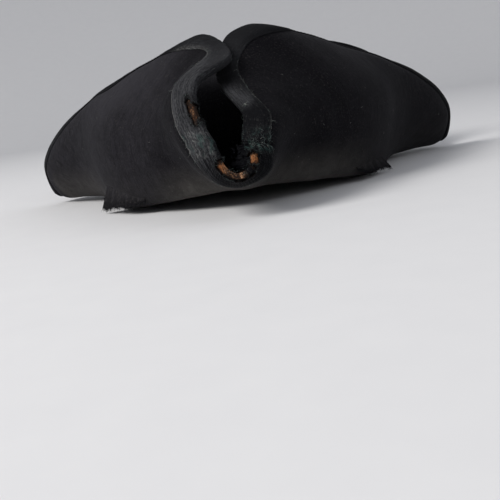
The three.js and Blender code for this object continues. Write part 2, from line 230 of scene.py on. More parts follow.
def on_lines(line, distance, wanted):
    """Points at the wanted distances up each section, straight between the fine points."""
    index = (distance[:, None, :] < wanted[:, :, None]).sum(-1)
    index = np.clip(index, 1, line.shape[1] - 1)
    rows = np.arange(len(line))[:, None]
    low, high = distance[rows, index - 1], distance[rows, index]
    share = ((wanted - low) / (high - low))[:, :, None]
    return blend(line[rows, index - 1], line[rows, index], share)


def columns_every(spacing_front, spacing_rest, front_sections=8):
    """Places round the brim, closer together at the front lips than along the flaps."""
    count = len(SECTIONS)
    places = []
    for i, gaps in enumerate(SECTION_GAPS):
        at_front = i < front_sections or i >= count - front_sections - 1
        steps = int(np.ceil(gaps.max() / (spacing_front if at_front else spacing_rest)))
        places.append(i + np.arange(steps) / steps)
    return np.concatenate(places)


line, distance = section_lines(np.arange(len(SECTIONS), dtype=float))
widths = np.round(distance[:, -1] / MM)
print("the brim is", widths.min(), "to", widths.max(), "mm wide")

# %% [markdown]
# ## Old felt is never quite even
# A perfectly smooth sheet looks like plastic.  Real felt has broad soft dents, small cockles where
# it was bent too tightly, and at this spout a hard crease across both lips.  All of them are one
# function of the place on the sheet, so that the brim and the ribbon on it dent together.  Soft
# noise gives the random part: random heights on a lattice, blended between its corners.

# %% Dents, cockles and creases
HASH_FACTORS = np.array([374761393, 668265263, 1440662683])  # whole numbers that mix the bits well
SEED_FACTOR = 974634777
LAST_FACTOR = 1274126177
KEPT_BITS = 0xFFFFFFFF


def soft_noise(points, size, seed):
    """Smooth random numbers from -1 to 1.

    Each corner of a lattice of cubes gets a random number, and a point blends the numbers of the
    eight corners round it by its eased distance from each.
    """
    cell = points / size
    corner = np.floor(cell).astype(np.int64)
    t = eased(cell - corner)
    total = np.zeros(points.shape[:-1])
    for offset in np.ndindex(2, 2, 2):
        mixed = ((corner + offset) @ HASH_FACTORS + seed * SEED_FACTOR) & KEPT_BITS
        mixed = ((mixed ^ (mixed >> 13)) * LAST_FACTOR) & KEPT_BITS
        value = ((mixed ^ (mixed >> 16)) & 0xFFFF) / 32767.5 - 1
        total += value * np.prod(np.where(offset, t, 1 - t), axis=-1)
    return total


def rough(points, *layers):
    """A sum of soft noises, each with its height, its size in millimetres and its seed."""
    return sum(height * soft_noise(points, size * MM, seed) for height, size, seed in layers)


def ramp(value, low, high):
    """0 at low and 1 at high, straight between them and level beyond; low may be the larger."""
    return np.clip((value - low) / (high - low), 0, 1)


def bell(amount, middle, width):
    """A bump of height 1 at the middle: e to the power of minus the square of the widths from it."""
    return np.exp(-(((amount - middle) / width) ** 2))


def near_point(points, place, width):
    """A bump round one place; the place and the width are in millimetres."""
    return bell(np.linalg.norm(points / MM - np.array(place), axis=-1), 0, width)


def to_segment(points, start, end):
    """Distance of each point from a straight segment, the distance and the ends in millimetres."""
    start = np.array(start)
    along = np.array(end) - start
    away = points / MM - start
    share = np.clip((away @ along) / (along @ along), 0, 1)
    return np.linalg.norm(away - share[..., None] * along, axis=-1)


def near_line(points, start, end, width):
    """A bump along a straight segment; its ends and its width are in millimetres."""
    return bell(to_segment(points, start, end), 0, width)


# a noise is its height in millimetres, its size in millimetres and its seed
DENTS = ((0.9, 60, 1), (0.35, 24, 2))
COCKLES = (1, 9, 3)
COCKLE_HEIGHTS = (0.08, 0.38)  # at the flaps and at the spout
RING_HEIGHT = 0.22
RING_RADIAN = 0.42  # the rings' wave turns by a radian in this distance
RINGS_PLACE = (19, 5)  # a middle distance from the edge, and the reach round it
FRONT_RAMP_Y = (-60, -110)  # the flaps end and the spout begins
TABLE_RAMP_Z = (2, 10)

CRACK = ((5, -141, 38.5), (18, -140, 37.5))  # the deepest crease, across the right lip
# the creases across the lips: the two ends of each, its half width and its depth
CREASES = [
    ((-25, -133, 45), (-12, -143, 43), 2.3, 1.5),
    ((-24, -135, 40), (-12, -144, 38), 1.3, 0.8),
    ((-29, -124, 56), (-20, -133, 54), 1.6, 0.5),
    (*CRACK, 1.5, 2.4),
    ((7, -138, 43), (19, -136, 42), 1.4, 0.9),
    ((8, -125, 48), (21, -128, 47), 1.8, 0.6),
]
PAINTED_SHINE_PLACE = ((-2, -107, 67), (9, -120, 60), 4.5)  # where a highlight is painted on the right lip's ribbon


def front_share(points):
    """0 at the flaps, growing to 1 at the spout."""
    return ramp(points[..., 1] / MM, *FRONT_RAMP_Y)


def relief(points, from_edge):
    """How far the sheet stands out along its normal, in metres.

    The sum of broad dents and of smaller cockles that grow towards the spout, both faded out where
    the hat rests on the table, of rings pressed round the spout's mouth, and of the creases.
    """
    front = front_share(points)
    uneven = rough(points, *DENTS) + blend(*COCKLE_HEIGHTS, front) * rough(points, COCKLES)
    rings = np.cos(from_edge / (RING_RADIAN * MM)) * bell(from_edge / MM, *RINGS_PLACE) * front
    creases = sum(-depth * near_line(points, start, end, width) for start, end, width, depth in CREASES)
    return (ramp(points[..., 2] / MM, *TABLE_RAMP_Z) * uneven + RING_HEIGHT * rings + creases) * MM


def grid_normals(grid):
    """Normals on the outer face of a grid that is closed round the brim and runs up the sheet."""
    round_brim = np.roll(grid, -1, axis=0) - np.roll(grid, 1, axis=0)
    up_sheet = np.gradient(grid, axis=1)
    return unit(np.cross(up_sheet, round_brim))


print("relief at the tip:", round(float(relief(SECTIONS[0, 4], 0.0)) / MM, 2), "mm")

# %% [markdown]
# ## Turning grids into closed meshes
# Every soft part here is a sheet with a thickness.  It could be one layer with a Solidify
# modifier, but a torn ribbon needs holes whose edges have a wall, so the function below builds
# both skins itself and closes every border of the kept faces, holes included.

# %% From a grid to a mesh
def add_piece(name, vertices, faces, node, attributes, weave=None):
    """A mesh object from arrays, riding on the hat's only body, in place of a plain model node.

    weave is a place along the cloth for each vertex, and the length after which it starts again;
    the cells that close the ring get that length added where it starts again.
    """
    used, compact = np.unique(faces, return_inverse=True)
    mesh = bpy.data.meshes.new(name)
    mesh.from_pydata(vertices[used].tolist(), [], compact.reshape(faces.shape).tolist())
    mesh.shade_smooth()
    for key, values in attributes.items():
        attribute = mesh.attributes.new(key, "FLOAT", "POINT")
        attribute.data.foreach_set("value", values[used].astype(np.float32))
    if weave is not None:
        places, length = weave
        uv = places[faces]
        uv[..., 0] += np.where(uv[..., 0].max(-1, keepdims=True) - uv[..., 0] > length / 2, length, 0)
        mesh.uv_layers.new(name="weave").uv.foreach_set("vector", uv.astype(np.float32).ravel())
    piece = bpy.data.objects.new(name, mesh)
    bpy.context.scene.collection.objects.link(piece)
    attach(piece, "root")
    if node:
        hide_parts(*node)
    print(name, "has", len(faces) * (faces.shape[1] - 2), "triangles")
    return piece


def grid_faces(rows, columns, closed):
    """Four corners of each cell of a grid, row by row; closed joins the last row to the first."""
    first = np.arange(rows if closed else rows - 1)[:, None] * columns
    after = (first + columns) % (rows * columns)
    step = np.arange(columns - 1)[None, :]
    return np.stack([first + step, first + step + 1, after + step + 1, after + step], -1)


def sheet_solid(outer, inner, keep=None, closed=True):
    """Two skins, and the walls that close them round every border of the kept cells."""
    rows, columns = outer.shape[:2]
    faces = grid_faces(rows, columns, closed)
    faces = faces[keep] if keep is not None else faces.reshape(-1, 4)
    edges = np.concatenate([faces[:, [k, (k + 1) % 4]] for k in range(4)])
    keys = np.sort(edges, axis=1) @ [rows * columns, 1]
    where, count = np.unique(keys, return_inverse=True, return_counts=True)[1:]
    border = edges[count[where] == 1]
    under = rows * columns
    walls = np.stack([border[:, 1], border[:, 0], border[:, 0] + under, border[:, 1] + under], -1)
    vertices = np.concatenate([outer.reshape(-1, 3), inner.reshape(-1, 3)])
    return vertices, np.concatenate([faces, faces[:, ::-1] + under, walls])


def both(values, shape):
    """The numbers of one grid, spread to that shape, for its outer and then its inner skin."""
    flat = np.broadcast_to(values, shape).reshape(shape[0] * shape[1], -1)
    return np.squeeze(np.concatenate([flat, flat]))


def add_sheet(name, node, slot, skins, keep=None, closed=True, weave=None, **numbers):
    """Two skins as one closed piece, with grids of numbers kept on both skins by their names.

    weave is the way along the cloth, the way across it, and the length after which it starts
    again, all in metres.
    """
    vertices, faces = sheet_solid(*skins, keep, closed)
    shape = skins[0].shape[:2]
    attributes = {key: both(values, shape) for key, values in numbers.items()}
    if weave:
        along, across, length = weave
        weave = (both(np.stack(np.broadcast_arrays(along, across), -1), (*shape, 2)), length)
    return add_piece(name, vertices, faces, node, attributes, weave)


def cell_means(values):
    """The mean of each cell's four corners, on a grid that is closed round the brim."""
    pairs = (values[:, :-1] + values[:, 1:]) / 2
    return (pairs + np.roll(pairs, -1, axis=0)) / 2


# %% [markdown]
# ## The brim
# On the real hat the brim is one layer of stiff felt with plush on both faces.  Its middle surface
# is already known, so each skin is that surface moved half a wall along the normal.  The outer
# skin stops at the table, which presses the rolls flat where the hat rests on them.

# %% The brim
BRIM_LEVELS = 78
SPACING_FRONT = 1.3
SPACING_REST = 3.0


def distance_round(grid):
    """Distance along the grid's edge to each section line, and the whole way round."""
    steps = np.linalg.norm(np.roll(grid[:, -1], -1, axis=0) - grid[:, -1], axis=-1)
    return np.concatenate([[0], np.cumsum(steps)[:-1]])[:, None], steps.sum()


brim_u = columns_every(SPACING_FRONT * MM, SPACING_REST * MM)
line, distance = section_lines(brim_u)
brim_width = distance[:, -1:]
up = np.linspace(0, 1, BRIM_LEVELS)[None, :] * brim_width
middle = on_lines(line, distance, up)
normals = grid_normals(middle)
rise = relief(middle, brim_width - up)[..., None]
outer = middle + normals * (rise + BRIM_WALL / 2 * MM)
inner = middle + normals * (rise - BRIM_WALL / 2 * MM)
outer[..., 2] = np.maximum(outer[..., 2], 0)

round_brim, brim_length = distance_round(middle)
brim = add_sheet(
    "brim_felt", ["brim"], "plush", (outer, inner),
    weave=(round_brim, up, brim_length), from_edge=brim_width - up,
)

# %% [markdown]
# ## The ribbon
# A hatter folds a ribbon over the edge and sews it through.  It is wide round the spout and narrow
# along the flaps, but for one wider stretch on the left.  Here it is a second sheet that runs up
# the outside of the brim, round the edge in half an ellipse, and down the inside.  Where it is worn
# through, the cells inside a ragged long oval are left out.

# %% The ribbon's way round the edge
RIBBON_WIDTHS = (14, 5)  # at the spout and along the flaps
RIBBON_NARROWS_Y = (-72, -44)  # between these places of the edge
WIDE_PLACE = ((-76, -8, 89), 28)  # it widens here again: the middle and the reach of that stretch
WIDE_PLACE_ADDS = 7
FACE_STEPS = 21
TURN_STEPS = 7
TURN_LENGTH = 4.8  # of the cloth round the edge
RIBBON_SPACING_FRONT = 0.68
RIBBON_SPACING_REST = 2.2


def ribbon_width(edge):
    """The width in metres: an eased step in y from wide to narrow, and one stretch wider again."""
    width = blend(*RIBBON_WIDTHS, eased(ramp(edge[:, 1] / MM, *RIBBON_NARROWS_Y)))
    return (width + WIDE_PLACE_ADDS * near_point(edge, *WIDE_PLACE))[:, None] * MM


def round_the_edge(grid):
    """A grid's columns up the outer face, its last one at each step of the turn, then back down."""
    return np.concatenate([grid, np.repeat(grid[:, -1:], TURN_STEPS, axis=1), grid[:, ::-1]], axis=1)


line, distance = section_lines(columns_every(RIBBON_SPACING_FRONT * MM, RIBBON_SPACING_REST * MM))
width = ribbon_width(line[:, -1])
up_face = np.linspace(1, 0, FACE_STEPS)[None, :]
ribbon_middle = on_lines(line, distance, distance[:, -1:] - width * up_face)
ribbon_round, ribbon_length = distance_round(ribbon_middle)
edge_up = unit(ribbon_middle[:, -1] - ribbon_middle[:, -2])[:, None]
base = round_the_edge(ribbon_middle)
face_normals = round_the_edge(grid_normals(ribbon_middle))
share_across = round_the_edge(up_face)
across = width * share_across

# the angle turned: none on the outer face, half a turn on the inner one
turn_steps = np.linspace(0, np.pi, TURN_STEPS + 2)[1:-1]
turn = np.pad(turn_steps, FACE_STEPS, constant_values=(0, np.pi))[None, :]
side = np.cos(turn)
over = np.sin(turn)
outward = unit(face_normals * side[..., None] + edge_up * over[..., None])
travel = width - across * side + turn / np.pi * TURN_LENGTH * MM
shape = base.shape[:2]
print("the ribbon's grid is", shape, "and it is", round(ribbon_length / MM), "mm long")

# %% [markdown]
# The ribbon lies a little loose, puckers where the edge curves tightly, is pulled in along its
# stitches, and thins towards its two borders.  It curls up at the rims of its tears.

# %% The ribbon's cloth
RIBBON_WALLS = (0.35, 0.7)  # at its border and where it is at its thickest
RIBBON_GAPS = (0.05, GAP)
THINNED_SHARE = 0.25
PUCKERS = ((1, 3.5, 21), (0.5, 1.6, 22))
PUCKER_STRETCH = 0.35  # below 1, so that the puckers are longest across the ribbon
PUCKER_HEIGHTS = (0.06, 0.22)  # at the flaps and at the spout
STITCH_PLACE = (1.3, 0.5)  # a middle distance from the border, and the reach round it
STITCH_RADIAN = 0.55  # the row's wave turns by a radian in this distance
STITCH_DEPTH = 0.2
# how far the shade painted along the crack across the right lip reaches, in millimetres
CRACK_SHADE_REACH = 0.8
CREASE_REACH = 4

# where the ribbon is worn through: the two ends of each tear and its half width
TEARS = {
    "left": ((-21, -127, 66), (-17.7, -137, 52), 1.9),
    "bottom": ((-10, -147, 32), (3, -148, 23.5), 2.3),
    "right": ((9.3, -142.5, 34), (7.8, -146.5, 28), 2.1),
}
CREVICE = ((3.6, -148, 24.2), (7.4, -147, 27.4), 1.5)  # a gap burnt right through between two tears
CREVICE_SHADE_PLACE = ((5.6, -147.5, 26), 3.4)  # painted shade round the deep gap between the bottom and the right tear
RAGGED = ((0.22, 1.6, 11), (0.12, 0.7, 12))
RIM_CURL = 0.6
CURLED_RIM = (1.05, 0.2)  # in the measure of a tear, which is 1 on its rim: a middle and a reach
# how far the tears' rims are made darker in the ribbon's finish, in the measure of a tear
DARK_RIM = (0.95, 0.28)


def tear_measure(points, tear):
    """0 in the middle of a tear, 1 on its long oval rim and more outside it."""
    start, end, half_width = (np.array(value) * MM for value in tear)
    middle_point, along = (start + end) / 2, unit(end - start)
    half_length = np.linalg.norm(end - start) / 2
    away = points - middle_point
    lengthwise = away @ along
    sideways = np.linalg.norm(away - lengthwise[..., None] * along, axis=-1)
    return np.hypot(lengthwise / half_length, sideways / half_width)


def nearest_tear(points):
    """The smallest measure of the tears and the crevice, roughened so that a rim is ragged."""
    rim = np.min([tear_measure(points, tear) for tear in (*TEARS.values(), CREVICE)], axis=0)
    return rim + rough(points, *RAGGED)


torn = nearest_tear(base)
front = front_share(base)
thin = ramp(share_across, 1, 1 - THINNED_SHARE)
along = np.broadcast_to(ribbon_round, shape)
flat_place = np.stack([along, travel * PUCKER_STRETCH, np.zeros_like(along)], -1)
puckers = blend(*PUCKER_HEIGHTS, front) * (rough(flat_place, *PUCKERS) + 1) * thin
stitches = bell((width - across) / MM, *STITCH_PLACE) * (0.5 + 0.5 * np.cos(along / (STITCH_RADIAN * MM)))
lift = puckers - STITCH_DEPTH * stitches + RIM_CURL * bell(torn, *CURLED_RIM)
wall = blend(*RIBBON_WALLS, thin)
stand_off = BRIM_WALL / 2 + blend(*RIBBON_GAPS, thin) + wall / 2 + lift
over_stand = (GAP + wall / 2 + lift) * over
brim_place = base + face_normals * relief(base, across)[..., None]
centre = (
    brim_place
    + face_normals * (side * stand_off)[..., None] * MM
    + edge_up * over_stand[..., None] * MM
)
ribbon_outer = centre + outward * (wall / 2 * MM)[..., None]
ribbon_inner = centre - outward * (wall / 2 * MM)[..., None]
creased = sum(depth * near_line(base, start, end, CREASE_REACH) for start, end, _, depth in CREASES)
# The ribbon also carries where its finish paints shade in the crack, a highlight on the right lip and shade
# round the gap between two tears.
ribbon = add_sheet(
    "worn_ribbon", ["edge_binding"], "ribbon", (ribbon_outer, ribbon_inner), cell_means(torn) > 1,
    weave=(along, travel, ribbon_length),
    front=front, across=share_across, creased=creased, fold=near_line(base, *CRACK, CRACK_SHADE_REACH),
    scorched=np.clip(bell(torn, *DARK_RIM) + near_point(base, *CREVICE_SHADE_PLACE), 0, 1),
    polished=near_line(base, *PAINTED_SHINE_PLACE),
)

# %% [markdown]
# ## The bare core
# Under the worn ribbon the plush is gone too, and the stiff tan body of the hat shows.  It is made
# from the same grid as the ribbon, a little wider than each tear and closer to the brim, with a
# fibrous lumpy surface.  A number that grows from the middle of the tear to its rim is kept for the
# finish, which goes from bright tan to dark brown there.

# %% The core in the three tears
CORE_REACH = 1.45  # in the measure of a tear
CORE_LEAST = 0.02
CORE_AT_RIM = 0.1
CORE_SWELLS = 0.5
CORE_SWELL_REACH = 0.9  # in the measure of a tear
CORE_LUMPS = ((0.25, 2.2, 31), (0.12, 0.9, 32))
CORE_INTO_BRIM = 0.2
CORE_OVER_EDGE = 0.1
CORE_BLOTCHES = (0.15, 1.3, 33)

lumps = rough(base, *CORE_LUMPS)
core_foot = (
    brim_place
    + face_normals * (side * BRIM_WALL / 2)[..., None] * MM
    + edge_up * (CORE_OVER_EDGE * over[..., None] * MM)
)
cores = []
for name, tear in TEARS.items():
    measure = tear_measure(base, tear)
    height = CORE_AT_RIM + CORE_SWELLS * bell(measure, 0, CORE_SWELL_REACH) + lumps * bell(measure, 0, 1)
    top = core_foot + outward * (np.maximum(height, CORE_LEAST) * MM)[..., None]
    under = core_foot - outward * CORE_INTO_BRIM * MM
    cores.append(add_sheet(
        f"core_{name}", [f"bare_core_{name}"], "bare_core", (top, under), cell_means(measure) < CORE_REACH,
        measure=measure + rough(base, CORE_BLOTCHES),
    ))

# %% [markdown]
# ## The rag in the spout
# Beside the right tear the ribbon has come off the edge and sags into the spout as a small black
# rag, crumpled and torn to points.  It is a strip of cloth that starts along the edge between the
# right lip's crease and the tip and runs inwards; noise crumples it and eats into its free side.

# %% The torn rag
RAG_FROM = 35.05  # places round the brim, counted in sections
RAG_TO = 36.97
RAG_ROWS = 60
RAG_STEPS = 30
RAG_INSET = 0.5
RAG_REACH = (-13.5, 6.0, -3.0)
RAG_REACH_AT_ENDS = 0.6
RAG_CRUMPLE = (1.3, 2.2, 1.8)
RAG_WRINKLES = [((1, 3.2, 60 + way), (0.5, 1.3, 70 + way)) for way in range(3)]  # in x, y and z
RAG_BITES = ((0.45, 2.4, 81), (0.25, 1.0, 82))
RAG_WALL = 0.4
RAG_KEPT = 0.8
RAG_CLOTH_LENGTH = 20
RAG_CLOTH_WIDTH = 9

line, distance = section_lines(np.linspace(RAG_FROM, RAG_TO, RAG_ROWS))
rag_edge = on_lines(line, distance, distance[:, -1:] - RAG_INSET * MM)
inwards = np.linspace(0, 1, RAG_STEPS)[None, :, None]
bulge = np.sin(np.linspace(0, np.pi, RAG_ROWS))[:, None, None]
flat_rag = rag_edge + inwards * np.array(RAG_REACH) * MM * blend(RAG_REACH_AT_ENDS, 1, bulge)
crumple = np.stack([rough(flat_rag, *noises) for noises in RAG_WRINKLES], -1)
rag_middle = flat_rag + crumple * inwards**0.5 * np.array(RAG_CRUMPLE) * MM
rag_normals = unit(np.cross(np.gradient(rag_middle, axis=1), np.gradient(rag_middle, axis=0)))
eaten = inwards[..., 0] + rough(flat_rag, *RAG_BITES)
rag_skins = [rag_middle + rag_normals * way * RAG_WALL / 2 * MM for way in (1, -1)]
rag_along = np.linspace(0, RAG_CLOTH_LENGTH * MM, RAG_ROWS)[:, None]
# The rag is painted darker, as if in the shade inside the spout.
rag = add_sheet(
    "spout_rag", [], "ribbon", rag_skins, (eaten < RAG_KEPT)[:-1, :-1], closed=False,
    weave=(rag_along, inwards[..., 0] * RAG_CLOTH_WIDTH * MM, 1.0),
    front=0.1, across=0, scorched=0, creased=0.05, fold=0.6, polished=0,
)

# %% [markdown]
# ## The crown
# The crown is one piece of felt pressed over a round block.  A turned dome would put a pole, where
# all its cells meet in a point, in the middle of the top.  Stretching a square grid over a disc
# first avoids that: the cells stay even, and the grid's border becomes the crown's base.

# %% The crown
CROWN_TOP = 86
CROWN_WALL = 2.2
SIDE_POWER = 4
RISE_POWER = 0.475
BASE_FADE = 0.6
CROWN_CELLS = 120
BASE_RISE = 0.6
CROWN_MIDDLE = (0, CENTRE_SHIFT_Y, 30)
CROWN_DENTS = ((1.3, 70, 41), (0.5, 26, 42))

feet = middle[:, 0]
foot_angle = np.arctan2(feet[:, 0] / HEAD_HALF_WIDTH, (CENTRE_SHIFT_Y * MM - feet[:, 1]) / HEAD_HALF_LENGTH)


def square_to_disc(a, b):
    """Each place of the square from -1 to 1, pulled in so that the border becomes a circle."""
    return a * np.sqrt(1 - b * b / 2), b * np.sqrt(1 - a * a / 2)


def dome(half_wall, top):
    """The crown's skin: an oval of growing radius, its height falling with the radius's fourth power."""
    grid = np.linspace(-1, 1, CROWN_CELLS + 1)
    x, y = square_to_disc(grid[None, :], grid[:, None])
    share = np.minimum(np.hypot(x, y), 1)
    radius = np.sin(share * np.pi / 2)
    height = top * np.maximum(1 - radius**SIDE_POWER, 0) ** RISE_POWER
    foot_height = np.interp(np.arctan2(x, -y), foot_angle, feet[:, 2], period=2 * np.pi)
    height = height + (foot_height / MM + BASE_RISE) * ramp(height, BASE_FADE * CROWN_TOP, 0)
    spread = radius / np.maximum(share, 1e-9) * (1 + half_wall / HEAD_HALF_WIDTH)
    x = x * spread * HEAD_HALF_WIDTH
    y = y * spread * HEAD_HALF_LENGTH + CENTRE_SHIFT_Y
    points = np.stack([x, y, height], -1) * MM
    dents = rough(points, *CROWN_DENTS) * MM * np.sin((1 - share) * np.pi / 2)
    return points + unit(points - np.array(CROWN_MIDDLE) * MM) * dents[..., None]


crown_outer = dome(CROWN_WALL / 2, CROWN_TOP)
crown_inner = dome(-CROWN_WALL / 2, CROWN_TOP - CROWN_WALL)
crown_angle = np.arctan2(crown_outer[..., 0], CENTRE_SHIFT_Y * MM - crown_outer[..., 1]) % (2 * np.pi)
crown_length = 2 * np.pi * HEAD_HALF_WIDTH * MM
crown = add_sheet(
    "crown_felt", ["crown"], "plush", (crown_outer, crown_inner), closed=False,
    weave=(crown_angle * HEAD_HALF_WIDTH * MM, crown_outer[..., 2], crown_length),
)

# %% [markdown]
# ## The torn strips
# At both lower sides the plush cover has come away from the felt and hangs as a short strip with a
# ragged hem.  Each strip starts just under the brim's skin, so that it grows out of it with no
# step, hangs straight down while the roll below it turns in, and flares a little.

# %% The torn strips
CLOTH_WALL = 0.7
HEM_STEPS = 22
HEM_SPACING = 0.7
MM_PER_DEGREE = 2.2  # of a strip, for each degree round the head oval
HEM_SMOOTHING = 9
HEM_FACES_FROM_Y = -4
HEM_RAGGED = ((0.9, 3.1, 51), (0.6, 1.1, 52))
HEM_WAVES = (0.55, 12, 53)
HEM_CLEARANCE = 0.6
LEAST_DROP = 0.8
FREE_FROM = 0.35
ROOT_DEPTH = 0.5
ROOT_POWER = 4
ROOT_WALL_SHARE = 0.35
ROOT_SHARE = 0.25
STRIP_GAP = 0.1
STRIP_FLARE = 1.3
FLARE_POWER = 1.6
TIP_FLARE = 4
TIP_LEAN = 3
CLOTH_STRETCH = 0.35  # below 1, so that the plush's streaks are wider on the strips
# side, first and last degree round the oval, then at those two ends the top line and the hem
TORN_HEMS = {
    "left": (-1, 38, 62, (9, 19), (6.2, 3.6)),
    "right": (1, 43, 64, (9.5, 10.5), (6.2, 3.6)),
}


def on_outer_face(degrees, heights):
    """Points of the brim's outer face, above its roll, at given heights."""
    foot_degrees = np.degrees(foot_angle)
    column = np.abs((foot_degrees[None, :] - degrees[:, None] + 180) % 360 - 180).argmin(axis=1)
    after = (column + 1) % len(middle)
    before_roll = outer[column, :, 2].argmin(axis=1)
    level = np.arange(outer.shape[1])[None, :]
    reached = (outer[column, :, 2] >= heights[:, None]) & (level > before_roll[:, None])
    found = reached.argmax(axis=1)
    share = (foot_degrees[column] - degrees) / (foot_degrees[column] - foot_degrees[after])
    return blend(outer[column, found], outer[after, found], share[:, None])


def smoothed(points):
    """A line of points, each replaced by the mean of its neighbours."""
    padded = np.pad(points, ((HEM_SMOOTHING // 2, HEM_SMOOTHING // 2), (0, 0)), mode="edge")
    kernel = np.ones(HEM_SMOOTHING) / HEM_SMOOTHING
    return np.stack([np.convolve(padded[:, k], kernel, "valid") for k in range(3)], -1)


def hem_strip(side, first, last, top, low):
    """A hanging strip from a line on the brim to a ragged hem, as its two skins and its length.

    At its front end the hem meets the brim, so that the strip has no step there; towards its free
    end it hangs lower and stands further out.
    """
    t = np.linspace(0, 1, int(round((last - first) * MM_PER_DEGREE / HEM_SPACING)))
    head_height = blend(*top, t)
    head = smoothed(on_outer_face(side * blend(first, last, t), head_height * MM))
    out = head - [0, HEM_FACES_FROM_Y * MM, 0]
    out[:, 2] = 0
    out = unit(out)
    lengthwise = side * np.stack([-out[:, 1], out[:, 0], out[:, 2]], -1)
    along_hem = np.concatenate([[0], np.cumsum(np.linalg.norm(np.diff(head, axis=0), axis=1))])
    place = np.stack([along_hem, t * 0, t * 0], -1)
    apart = 1 - (1 - ramp(t, 0, FREE_FROM)) ** 2
    free_height = np.maximum(blend(*low, t) + rough(place, *HEM_RAGGED) * apart, HEM_CLEARANCE)
    hem_height = blend(head_height - LEAST_DROP, free_height, apart)
    foot = np.stack([head[:, 0], head[:, 1], hem_height * MM], -1)
    down = np.linspace(0, 1, HEM_STEPS)[None, :, None]
    towards_tip = t[:, None, None]
    flare = STRIP_GAP + STRIP_FLARE * down**FLARE_POWER + TIP_FLARE * towards_tip**4 * down
    waves = rough(head * [1, 1, 0], HEM_WAVES)[:, None, None] * down
    away = flare * apart[:, None, None] + waves - ROOT_DEPTH * (1 - down) ** ROOT_POWER
    centre = blend(head[:, None], foot[:, None], down) + out[:, None] * away * MM
    centre = centre + lengthwise[:, None] * TIP_LEAN * towards_tip**2 * down * MM
    wall = CLOTH_WALL * MM * blend(ROOT_WALL_SHARE, 1, ramp(down, 0, ROOT_SHARE))
    return centre + out[:, None] * wall / 2, centre - out[:, None] * wall / 2, along_hem


strips = []
hem_lines = []
for name, (side, first, last, top, low) in TORN_HEMS.items():
    front_skin, back_skin, along_hem = hem_strip(side, first, last, top, low)
    skins = (front_skin, back_skin) if side > 0 else (front_skin[::-1], back_skin[::-1])
    strips.append(add_sheet(
        f"torn_strip_{name}", [f"torn_hem_{name}"], "plush", skins, closed=False,
        weave=(along_hem[:, None] * CLOTH_STRETCH, -skins[0][..., 2], 1.0),
        strip=np.linspace(0, 1, HEM_STEPS)[None, :], from_edge=1,
    ))
    hem_lines.append((front_skin[:, -1] + back_skin[:, -1]) / 2)

# %% [markdown]
# ## Loose threads
# Worn ribbon ends in threads: across the tears, over the cracked creases and along the hems.  Each
# is a tapered tube with four sides.  Hundreds of them are worked out at once: a start, a direction
# along the cloth, a bow away from it and a sideways curl, with random numbers from one seed.

# %% Threads as thin tubes
THREAD_STEPS = 7
THREAD_SIDES = 4
END_THINNED = 0.65
WAVE_SHARE = 0.12
WAVE_RADIANS = 7
TABLE_CLEARANCE = 0.15
ASLANT = (0.31, 0.52, 0.79)  # hardly any thread runs this way
rng = np.random.default_rng(1770)


def bowed_paths(starts, directions, normals, lengths, bow, curl):
    """Paths that leave along a direction, bow away along the normal and curl sideways.

    At share t the path is length times t along, bow times t (1 - t) out, and curl times the
    square of t to the side, with a small wave.
    """
    t = np.linspace(0, 1, THREAD_STEPS)[None, :, None]
    lengths = np.asarray(lengths)[:, None, None]
    sideways = unit(np.cross(directions, normals))[:, None]
    bend = curl * rng.normal(size=(len(starts), 1, 1))
    waves = WAVE_SHARE * np.sin(t * WAVE_RADIANS + rng.uniform(0, 6, (len(starts), 1, 1)))
    return (
        starts[:, None]
        + directions[:, None] * lengths * t
        + normals[:, None] * lengths * bow * 4 * t * (1 - t)
        + sideways * lengths * (bend * t**2 + waves * t)
    )


def tubes(paths, radius):
    """Four-sided tubes along the paths, thinner towards the end, closed by a square at both ends."""
    count, steps = paths.shape[:2]
    tangent = unit(np.gradient(paths, axis=1))
    side_way = unit(np.cross(tangent, ASLANT))
    other_way = np.cross(tangent, side_way)
    taper = (1 - END_THINNED * np.linspace(0, 1, steps) ** 2)[None, :, None, None]
    angle = (np.arange(THREAD_SIDES) * 2 * np.pi / THREAD_SIDES)[:, None]
    ring = side_way[:, :, None] * np.cos(angle) + other_way[:, :, None] * np.sin(angle)
    vertices = paths[:, :, None] + ring * taper * np.reshape(radius, (-1, 1, 1, 1))
    corner = np.arange(THREAD_SIDES)
    after = (corner + 1) % THREAD_SIDES
    around = np.stack([corner, after, after + THREAD_SIDES, corner + THREAD_SIDES], -1)
    walls = (around[None] + np.arange(steps - 1)[:, None, None] * THREAD_SIDES).reshape(-1, 4)
    caps = np.array([corner[::-1], corner + THREAD_SIDES * (steps - 1)])
    one = np.concatenate([walls, caps])
    faces = (one[None] + np.arange(count)[:, None, None] * steps * THREAD_SIDES).reshape(-1, 4)
    return vertices.reshape(-1, 3), faces


def add_threads(name, bundles):
    """One piece from bundles of threads, each with its paths, thicknesses and tones."""
    paths, thickness, tones = (np.concatenate(values) for values in zip(*bundles))
    paths[..., 2] = np.maximum(paths[..., 2], TABLE_CLEARANCE * MM)
    vertices, faces = tubes(paths, thickness)
    tones = np.repeat(tones, THREAD_STEPS * THREAD_SIDES)
    return add_piece(name, vertices, faces, [], attributes={"tone": tones})


def picked(weights, count):
    """Random cells of the ribbon's grid, more often where the weight is high."""
    chance = weights.ravel() / weights.sum()
    return np.unravel_index(rng.choice(chance.size, count, p=chance), weights.shape)


# %% [markdown]
# The ribbon's threads are of seven kinds.  Each kind has a weight over the ribbon's grid, which is
# high by a tear, a crease, the edge or the border, and its threads start at random cells by it.

# %% The ribbon's threads
TUFT = ((8.8, -121.5, 57.5), 0.7)  # a pale knot left on the right lip
THREADS_INSET = 3.5
THREAD_ROOT = 0.05
UNTORN = 1.2  # from this measure of a tear on the ribbon is whole
